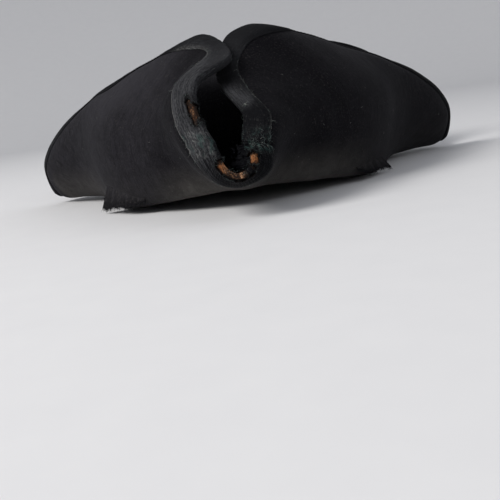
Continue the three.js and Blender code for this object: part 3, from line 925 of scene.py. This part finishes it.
# the middle distance from each, and the reach round it; for a tear, its measure
BY_CRACK = (0.8, 1.1)
BY_EDGE = (0.2, 0.8)
BY_BORDER = (0.4, 0.4)
BY_TEAR = (1.1, 0.12)
FUZZ_BY_TEAR = (1.25, 0.3)
LENGTH_SPREAD = (0.5, 1.4)
THICKNESS_SPREAD = (0.7, 1.3)
HEADING_SPREAD = 1.2  # in radians
TONE_SPREAD = 0.2

ribbon_up = unit(np.gradient(centre, axis=1))
ribbon_side = unit(np.roll(centre, -1, axis=0) - np.roll(centre, 1, axis=0))
outer_half = np.arange(shape[1])[None, :] < FACE_STEPS + TURN_STEPS
whole = outer_half * (torn > UNTORN) * (across > THREADS_INSET * MM)
by_crack = bell(to_segment(base, *CRACK), *BY_CRACK)
by_edge = bell(across / MM, *BY_EDGE)
by_border = bell((width - across) / MM, *BY_BORDER) * outer_half
# weight on the ribbon, count, less heading spread, length, thickness, bow, curl, tone
THREADS = {
    "tear": (bell(torn, *BY_TEAR) * outer_half, 260, 0.3, 2.2, 0.07, 0.2, 0.5, 0.05),
    "tear_fuzz": (bell(torn, *FUZZ_BY_TEAR) * outer_half, 130, 0.6, 1.1, 0.05, 0.4, 0.9, 0.35),
    "crease": (by_crack * whole, 60, 0.5, 1.9, 0.075, 0.15, 0.9, 0.55),
    "rubbed": (creased * whole, 110, 0.8, 1.8, 0.05, 0.10, 0.8, 0.35),
    "edge": (by_edge * front**2, 150, 0.8, 1.6, 0.05, 0.3, 0.8, 0.4),
    "border": (by_border * front**3, 90, 0.8, 1.8, 0.045, 0.2, 0.9, 0.65),
    "tuft": (near_point(base, *TUFT) ** 2 * outer_half, 12, 0.6, 1.0, 0.08, 0.35, 0.8, 0.85),
}
bundles = []
for weight, count, steady, long, thick, bow, curl, tone in THREADS.values():
    at = picked(np.broadcast_to(weight, shape), count)
    angle = rng.normal(0, HEADING_SPREAD - steady, count) + np.where(rng.random(count) < 0.5, 0, np.pi)
    heading = ribbon_side[at] * np.cos(angle)[:, None] + ribbon_up[at] * np.sin(angle)[:, None]
    lengths = long * MM * rng.uniform(*LENGTH_SPREAD, count)
    starts = ribbon_outer[at] - outward[at] * THREAD_ROOT * MM
    paths = bowed_paths(starts, heading, outward[at], lengths, bow, curl)
    thickness = thick * MM * rng.uniform(*THICKNESS_SPREAD, count)
    tones = np.clip(tone + rng.normal(0, TONE_SPREAD, count), 0, 1)
    bundles.append((paths, thickness, tones))
ribbon_threads = add_threads("ribbon_threads", bundles)

# %% [markdown]
# ## Fringe and lint
# The hems of the torn strips fray downwards, and a plush hat always carries a little pale lint.
# Both are the same tubes again, started from the hem lines and from places all over the brim.

# %% Fringe on the strips and lint on the plush
FRINGE_PER_HEM = 300
FRINGE_ROOT = 0.3
FRINGE_SPREAD = np.array([0.35, 0.35, 0.07])
FRINGE_LENGTHS = (0.8, 3.0)
FRINGE_ROOM = 0.9  # of its height over the table
FRINGE_THICKNESS = 0.09
FRINGE_BEND = (0.1, 0.2)  # bow and curl
LINT_COUNT = 48
LINT_LEVELS = (BRIM_LEVELS // 3, BRIM_LEVELS - 8)
LINT_LENGTHS = (0.5, 1.8)
LINT_THICKNESS = 0.05
LINT_BEND = (0.15, 0.8)

each = np.ones(FRINGE_PER_HEM)
bundles = []
for line_points in hem_lines:
    start = line_points[rng.integers(0, len(line_points), FRINGE_PER_HEM)] + [0, 0, FRINGE_ROOT * MM]
    heading = unit(rng.normal(0, FRINGE_SPREAD, (FRINGE_PER_HEM, 3)) + [0, 0, -1])
    room = (start[:, 2] - TABLE_CLEARANCE * MM) * FRINGE_ROOM
    lengths = np.minimum(rng.uniform(*FRINGE_LENGTHS, FRINGE_PER_HEM) * MM, room)
    forwards = np.tile([0.0, -1.0, 0.0], (FRINGE_PER_HEM, 1))
    paths = bowed_paths(start, heading, forwards, lengths, *FRINGE_BEND)
    bundles.append((paths, FRINGE_THICKNESS * MM * each, 0 * each))
hem_fringe = add_threads("hem_fringe", bundles)

each = np.ones(LINT_COUNT)
lint_at = (rng.integers(0, len(brim_u), LINT_COUNT), rng.integers(*LINT_LEVELS, LINT_COUNT))
lint_normals = normals[lint_at]
heading = unit(np.cross(lint_normals, rng.normal(size=(LINT_COUNT, 3))))
lengths = rng.uniform(*LINT_LENGTHS, LINT_COUNT) * MM
starts = outer[lint_at] + lint_normals * THREAD_ROOT * MM
paths = bowed_paths(starts, heading, lint_normals, lengths, *LINT_BEND)
lint = add_threads("lint", [(paths, LINT_THICKNESS * MM * each, each)])

# %% [markdown]
# ## Shader maths as sums
# A finish is a formula over the surface.  Written as nodes it is hard to read, so a small class
# stands for a socket and adds the Math node when two of them are added or multiplied.  Every
# other node comes from one method, which sets the node's choices first and its sockets second.

# %% Sockets that can be added and multiplied
class Link:
    """A node's output that can be used in a sum."""

    def __init__(self, finish, socket):
        self.finish = finish
        self.socket = socket

    def joined(self, operation, other, swapped=False):
        """A Math node on this output and another value, in either order."""
        pair = (other, self) if swapped else (self, other)
        return self.finish.make("ShaderNodeMath", {"operation": operation}, dict(enumerate(pair)))

    def __add__(self, other):
        return self.joined("ADD", other)

    def __mul__(self, other):
        return self.joined("MULTIPLY", other)

    def __sub__(self, other):
        return self.joined("SUBTRACT", other)

    def __rsub__(self, other):
        return self.joined("SUBTRACT", other, swapped=True)

    __radd__ = __add__
    __rmul__ = __mul__

    def between(self, low, high):
        """0 below low, 1 above high, and eased from one to the other."""
        return self.finish.make(
            "ShaderNodeMapRange", {"interpolation_type": "SMOOTHSTEP"},
            {"Value": self, "From Min": low, "From Max": high},
        )


class Finish:
    """A material whose nodes are made from formulas."""

    def __init__(self, name):
        self.material = bpy.data.materials.new(name)
        self.material.use_nodes = True
        self.tree = self.material.node_tree
        self.tree.nodes.clear()

    def make(self, kind, settings=None, inputs=None, output=0):
        """A node of a kind, its settings made first, then the values or links of its sockets."""
        node = self.tree.nodes.new(kind)
        for key, value in (settings or {}).items():
            setattr(node, key, value)
        for key, value in (inputs or {}).items():
            if isinstance(value, Link):
                self.tree.links.new(value.socket, node.inputs[key])
            else:
                node.inputs[key].default_value = value
        return Link(self, node.outputs[output])

    def place(self):
        """The place on the object, in metres."""
        return self.make("ShaderNodeTexCoord", output="Object")

    def weave(self):
        """The place along the cloth, in metres: round the brim, then up the sheet."""
        return self.make("ShaderNodeUVMap", {"uv_map": "weave"})

    def parts(self, vector):
        """The three parts of a vector."""
        node = self.make("ShaderNodeSeparateXYZ", inputs={0: vector}).socket.node
        return [Link(self, socket) for socket in node.outputs]

    def numbers(self, *names):
        """Numbers kept on the mesh's vertices."""
        kind = "ShaderNodeAttribute"
        return [self.make(kind, {"attribute_name": name}, output="Fac") for name in names]

    def noise(self, where, sizes, detail=2.0, roughness=0.5, seed=0.0):
        """Soft noise from 0 to 1 whose grains have the given sizes along the three directions."""
        per_grain = [1 / size for size in sizes]
        scaled = self.make("ShaderNodeVectorMath", {"operation": "MULTIPLY"}, {0: where, 1: per_grain})
        moved = self.make("ShaderNodeVectorMath", {"operation": "ADD"}, {0: scaled, 1: (seed, seed, seed)})
        inputs = {"Vector": moved, "Scale": 1.0, "Detail": detail, "Roughness": roughness}
        return self.make("ShaderNodeTexNoise", inputs=inputs)

    def layered(self, colour, *layers):
        """A colour under others, each laid on by its share: none of it at 0, nothing else at 1."""
        for share, over in layers:
            first, second = (c if isinstance(c, Link) else (*c, 1.0) for c in (colour, over))
            settings = {"data_type": "RGBA", "clamp_factor": True}
            colour = self.make("ShaderNodeMix", settings, {0: share, 6: first, 7: second}, output=2)
        return colour

    def cover(self, pieces, colour, roughness, height, depth, **constants):
        """Ends the finish, its bumps of a depth in metres, and puts it on the pieces."""
        bump = self.make("ShaderNodeBump", inputs={"Height": height, "Distance": depth, "Strength": 1.0})
        inputs = {"Base Color": colour, "Roughness": roughness, "Normal": bump}
        inputs.update({key.replace("_", " "): value for key, value in constants.items()})
        shader = self.make("ShaderNodeBsdfPrincipled", inputs=inputs)
        output = self.tree.nodes.new("ShaderNodeOutputMaterial")
        self.tree.links.new(shader.socket, output.inputs["Surface"])
        for piece in pieces:
            piece.data.materials.append(self.material)
        print(self.material.name, "uses", len(self.tree.nodes), "nodes")


# %% [markdown]
# ## The plush
# Silk plush is a short pile brushed one way round the hat.  It is nearly black, yet it never looks
# like black paint: the pile catches light at a grazing angle, brushed streaks run along it, dust
# greys the roll, and handling has flattened patches.  Sheen gives the grazing light, stretched
# noise gives the streaks, and the place on the hat gives the dust and painted light and shade: the
# left side and its top are painted lighter, as if lit from the left and from above, the plush by
# the lips darker, as if in the spout's shade, and the roll lighter, as if lit from the table.

# %% The plush
DEEP_BLACK = (0.0030, 0.0028, 0.0040)
# a lighter black for real wear and for painted light where the left side and the top face the lamps
LIT_AND_WORN_BLACK = (0.0180, 0.0171, 0.0210)
# dust grey, also used as painted light thrown up from the table onto the roll
DUST_AND_BOUNCE_GREY = (0.064, 0.060, 0.056)
PALE_LINT = (0.30, 0.29, 0.27)

finish = Finish("silk_plush")
place = finish.place()
weave = finish.weave()
x, y, z = finish.parts(place)
from_edge, strip = finish.numbers("from_edge", "strip")
patches = finish.noise(place, (0.045, 0.045, 0.03), detail=3)
mottle = finish.noise(place, (0.006, 0.006, 0.006), detail=3, roughness=0.6, seed=2)
streaks = finish.noise(weave, (0.0016, 0.022, 0.022), detail=3, roughness=0.6, seed=3)
rings = finish.noise(weave, (0.05, 0.0011, 0.0011), detail=2, roughness=0.6, seed=6)
pile = finish.noise(weave, (0.0007, 0.0011, 0.0011), detail=2, seed=7)
specks = finish.noise(place, (0.0011, 0.0011, 0.0011), detail=0, seed=9)

# painted light: the left side is painted lighter, as if lit by the lamp on the left, and higher up lighter
# still, as if lit from above
left = 1 - x.between(-0.075, 0.025)
high = z.between(0.05, 0.09)
near_spout = 1 - y.between(-0.115, -0.085)
near_lips = 1 - y.between(-0.100, -0.070)
# painted shade: the plush near the lips is painted darker, as if in the shade of the spout
lip_shade = (1 - from_edge.between(0.016, 0.060)) * near_lips
uneven = (patches - 0.5) * 0.35 + (mottle - 0.5) * 0.55 + (streaks - 0.5) * 0.65
# real mottle and flattened patches, with painted light on the left side and its top and painted shade by
# the lips
wear_light_and_shade = left * 0.36 + left * high * 0.46 - lip_shade * 0.54 + uneven * (0.9 + left * 0.6)
wear_light_and_shade = wear_light_and_shade + near_spout * (rings - 0.45) * 1.3 - strip * 0.5 - strip.between(0.62, 0.95) * 0.7

# dust on the low roll, with painted light from the table under the spout and on the left lobe
low = 1 - z.between(0.002, 0.034)
under_spout = x.between(-0.062, -0.026) * (1 - x.between(0.03, 0.09))
left_lobe = 1 - x.between(-0.118, -0.092)
dust_and_bounce_light = low * (under_spout + left_lobe * 0.55 + 0.12) * (0.4 + mottle * 1.2) * (1 - strip)
dust_and_bounce_light = dust_and_bounce_light * from_edge.between(0.012, 0.018) + specks.between(0.74, 0.80) * 0.30
colour = finish.layered(
    DEEP_BLACK,
    (wear_light_and_shade.between(-0.15, 1.0), LIT_AND_WORN_BLACK),
    (dust_and_bounce_light, DUST_AND_BOUNCE_GREY),
    ((pile - 0.56) * 0.35, PALE_LINT),
)
finish.cover(
    (brim, crown, *strips),
    colour, 0.66 + patches * 0.16 + pile * 0.1, pile * 0.5 + streaks * 0.6 + mottle * 1.2, 0.0005,
    Sheen_Weight=0.030, Sheen_Roughness=0.4, Sheen_Tint=(0.62, 0.61, 0.70, 1.0),
    Specular_IOR_Level=0.06,
)

# %% [markdown]
# ## The ribbon's finish
# Grosgrain has fine ribs across it.  New, it is as black as the plush but smoother; at the spout,
# where fingers pulled at it, the ribs are gone and the pale warp threads show as streaks along the
# ribbon.  The worn cloth is grey with a breath of green where its black dye has turned.  Light and
# shade are painted in too: highlights on the upper right lip and along the top of the left lip,
# shade in the crack across the right lip, on the rag and round the gap between two tears, and the
# grey wear is painted darker low on the spout and by its opening and lighter higher up.

# %% The ribbon's finish
RIBBON_BLACK = (0.0036, 0.0037, 0.0048)
RIBBON_GREY = (0.056, 0.057, 0.062)
RIBBON_GREEN = (0.034, 0.066, 0.061)
BARE_THREAD = (0.26, 0.26, 0.25)
# near-black brown for the tears' darker rims and for painted shade round the gap between the bottom and the
# right tear
RIM_AND_SHADE_BROWN = (0.0026, 0.0013, 0.0009)
# near-black for painted shade in the crack across the right lip and on the rag, and for the dark ring lines
SHADE_AND_RING_BLACK = (0.0012, 0.0013, 0.0022)
RIB_LENGTH = 0.0011

finish = Finish("ribbon_cloth")
weave = finish.weave()
x, y, z = finish.parts(finish.place())
front, across, scorched = finish.numbers("front", "across", "scorched")
creased, polished, fold = finish.numbers("creased", "polished", "fold")
streaks = finish.noise(weave, (0.014, 0.00055, 0.00055), detail=3, roughness=0.65)
cloudy = finish.noise(weave, (0.009, 0.004, 0.004), detail=3, seed=5)
green_place = finish.noise(weave, (0.009, 0.004, 0.004), detail=3, roughness=0.6, seed=8)
threads = finish.noise(weave, (0.004, 0.00035, 0.00035), detail=2, seed=12)
grain = finish.noise(weave, (0.0016, 0.0009, 0.0009), detail=3, roughness=0.7, seed=15)
rings = finish.noise(weave, (0.09, 0.0019, 0.0019), detail=1, roughness=0.5, seed=21)
rib_angle = finish.parts(weave)[0] * (2 * np.pi / RIB_LENGTH)
ribs = finish.make("ShaderNodeMath", {"operation": "SINE"}, {0: rib_angle})
streaky = (streaks * 0.6 + grain * 0.4).between(0.40, 0.60)
grainy = grain.between(0.42, 0.62)

left = 1 - x.between(-0.018, 0.002)
right = front * (1 - left)
# the ribbon's grey wear, with painted light and shade: lighter higher up the left lip, darker low on the
# spout and by the edge at the spout's opening
above_tip = z.between(0.020, 0.044)
wear_light_and_shade = front * left * (0.22 + above_tip * 0.42 + z.between(0.065, 0.085) * 0.25 + across * 0.30)
wear_light_and_shade = (wear_light_and_shade + (cloudy - 0.5) * (0.15 + left * 0.95) * front).between(0.0, 0.95)
wear_light_and_shade = wear_light_and_shade + (1 - front) * x.between(-0.090, -0.120) * z.between(0.075, 0.060) * 0.35
# painted light: the upper part of the right lip's ribbon is painted lighter, as if lit from above
lit_high_right = z.between(0.068, 0.088) * right
rubbed = creased.between(0.02, 0.7) * cloudy.between(0.42, 0.66) * (0.3 + left * 0.7) * grainy
green = creased.between(0.35, 1.6) * green_place.between(0.46, 0.62)
bare_threads = front * threads.between(0.60, 0.80)
at_border = across.between(0.90, 1.0) * front.between(0.55, 0.9)
# painted reflection: a pale band along the top of the left lip's ribbon
top_reflection = across.between(0.70, 0.98) * z.between(0.084, 0.094) * left * front.between(0.08, 0.3)
ring_line = rings.between(0.46, 0.50) * rings.between(0.55, 0.51) * front * z.between(0.042, 0.030)
colour = finish.layered(
    RIBBON_BLACK,
    (wear_light_and_shade * (0.16 + streaky * 0.70), RIBBON_GREY),
    (right * streaky * 0.06, RIBBON_GREY),
    (lit_high_right * 0.45, RIBBON_GREY),
    # a painted highlight on the right lip's ribbon
    (polished * (0.3 + streaky * 0.7), RIBBON_GREY),
    (rubbed * 0.22, BARE_THREAD),
    (green * (0.3 + grainy * 0.5), RIBBON_GREEN),
    (bare_threads * 0.30, BARE_THREAD),
    (at_border * (0.04 + left * 0.12 + grainy * 0.14), BARE_THREAD),
    (top_reflection * (0.02 + grainy * 0.22), BARE_THREAD),
    (ring_line * 0.9, SHADE_AND_RING_BLACK),
    # painted shade in the crack across the right lip, and on the rag in the spout
    (fold, SHADE_AND_RING_BLACK),
    # darker tear rims, and painted shade round the gap between the bottom and the right tear
    (scorched * 0.95, RIM_AND_SHADE_BROWN),
)
bumps = ribs * (1 - wear_light_and_shade) * 0.4 + streaks * 0.7 + grain * 0.5 + threads * 0.5
finish.cover((ribbon, rag), colour, 0.6 + wear_light_and_shade * 0.25, bumps, 0.0004, Specular_IOR_Level=0.035)

# %% [markdown]
# ## The core and the threads
# The bare body is tan with an orange cast, darker brown towards the rim of each tear, and fibrous.
# Threads take their colour from the tone kept on their vertices: dark cloth, grey-green or nearly
# white.

# %% The core and thread finishes
CORE_TAN = (0.42, 0.225, 0.115)
CORE_PALE = (0.58, 0.36, 0.22)
CORE_ORANGE = (0.30, 0.115, 0.042)
CORE_BROWN = (0.105, 0.040, 0.014)
CORE_DARK = (0.014, 0.007, 0.004)
THREAD_DARK = (0.008, 0.008, 0.010)
THREAD_GREEN = (0.075, 0.10, 0.095)
THREAD_PALE = (0.24, 0.25, 0.23)

finish = Finish("bare_body")
place = finish.place()
x, y, z = finish.parts(place)
measure = finish.numbers("measure")[0]
fibres = finish.noise(place, (0.0006, 0.0006, 0.0022), detail=4, roughness=0.65)
blotches = finish.noise(place, (0.003, 0.003, 0.003), detail=2, seed=4)
on_left = z.between(0.042, 0.050)  # the left tear lies higher than the other two
low_left = (1 - x.between(-0.010, -0.006)) * (1 - on_left)
rim = measure + (fibres - 0.5) * 1.6
towards_rim = (measure + (blotches - 0.5) * 1.2).between(0.12, 0.58)
bright_middle = x.between(-0.0085, -0.0045) * x.between(0.0070, 0.0045) * (1 - on_left)
brown_right = x.between(0.0050, 0.0075) * fibres.between(0.40, 0.56)
colour = finish.layered(
    CORE_TAN,
    (towards_rim, CORE_ORANGE),
    (bright_middle * 0.75, CORE_PALE),
    (brown_right * 0.6, CORE_BROWN),
    (rim.between(0.40, 0.72) * 0.75, CORE_BROWN),
    (fibres.between(0.52, 0.68) * (0.35 + on_left * 0.4), CORE_DARK),
    (blotches.between(0.47, 0.56) * on_left * 0.85, CORE_DARK),
    (low_left * 0.6, CORE_BROWN),
    (on_left * (0.64 + fibres.between(0.42, 0.52) * 0.40), CORE_DARK),
    (rim.between(0.62, 0.98), CORE_DARK),
)
finish.cover(cores, colour, 0.85 + fibres * 0.1, fibres, 0.0005, Specular_IOR_Level=0.2)

finish = Finish("loose_thread")
tone = finish.numbers("tone")[0]
green_share = tone.between(0.1, 0.6)
pale_share = tone.between(0.6, 1.0)
colour = finish.layered(THREAD_DARK, (green_share, THREAD_GREEN), (pale_share, THREAD_PALE))
fuzz = finish.noise(finish.place(), (0.0003, 0.0003, 0.0003), detail=1)
finish.cover(
    (ribbon_threads, hem_fringe, lint), colour, 0.8 + fuzz * 0.1, fuzz, 0.0001, Specular_IOR_Level=0.2,
)

# %% [markdown]
# ## The table and the light
# A plain pale floor that curves up all round gives no horizon from any side.  The light is that of
# a bright room: a large soft lamp high on the left, a weaker one on the right, and a pale sky.

# %% The floor
FLOOR_FLAT = 1.7
FLOOR_REACH = 3.4
FLOOR_RISE = 1.3
FLOOR_CELLS = 96
TABLE_GREY = (0.69, 0.69, 0.705)
TABLE_LIGHT_GREY = (0.72, 0.72, 0.73)

grid = np.linspace(-1, 1, FLOOR_CELLS + 1)
disc_x, disc_y = square_to_disc(grid[None, :], grid[:, None])
climb = ramp(np.hypot(disc_x, disc_y) * FLOOR_REACH, FLOOR_FLAT, FLOOR_REACH)
floor_points = np.stack([disc_x * FLOOR_REACH, disc_y * FLOOR_REACH, FLOOR_RISE * climb**2], -1)
floor_mesh = bpy.data.meshes.new("table")
cells = grid_faces(FLOOR_CELLS + 1, FLOOR_CELLS + 1, closed=False).reshape(-1, 4)
floor_mesh.from_pydata(floor_points.reshape(-1, 3).tolist(), [], cells.tolist())
floor_mesh.shade_smooth()
table = bpy.data.objects.new("table", floor_mesh)
bpy.context.scene.collection.objects.link(table)

finish = Finish("painted_table")
grain = finish.noise(finish.place(), (0.02, 0.02, 0.02), detail=3)
colour = finish.layered(TABLE_GREY, (grain, TABLE_LIGHT_GREY))
finish.cover([table], colour, 0.7 + grain * 0.1, grain, 0.0001, Specular_IOR_Level=0.2)

# %% The lamps
LAMP_AIM = np.array([0.0, 0.0, 0.05])
ROOM_COLOUR = (0.93, 0.95, 1.0, 1.0)
ROOM_STRENGTH = 0.42


def soft_lamp(name, place, size, power, colour):
    """A square lamp that looks at the hat."""
    lamp = bpy.data.objects.new(name, bpy.data.lights.new(name, "AREA"))
    lamp.data.size = size
    lamp.data.energy = power
    lamp.data.color = colour
    lamp.matrix_world = turn_to(np.array(place), LAMP_AIM, 0.0).T.tolist()
    bpy.context.scene.collection.objects.link(lamp)


soft_lamp("lamp_left", (-1.5, -0.9, 1.5), 1.1, 48, (1.0, 0.98, 0.95))
soft_lamp("lamp_right", (1.5, -0.9, 1.1), 1.0, 4, (0.95, 0.97, 1.0))
world = bpy.data.worlds.new("room")
world.use_nodes = True
background = world.node_tree.nodes["Background"]
background.inputs["Color"].default_value = ROOM_COLOUR
background.inputs["Strength"].default_value = ROOM_STRENGTH
bpy.context.scene.world = world
bpy.context.scene.view_settings.view_transform = "Standard"
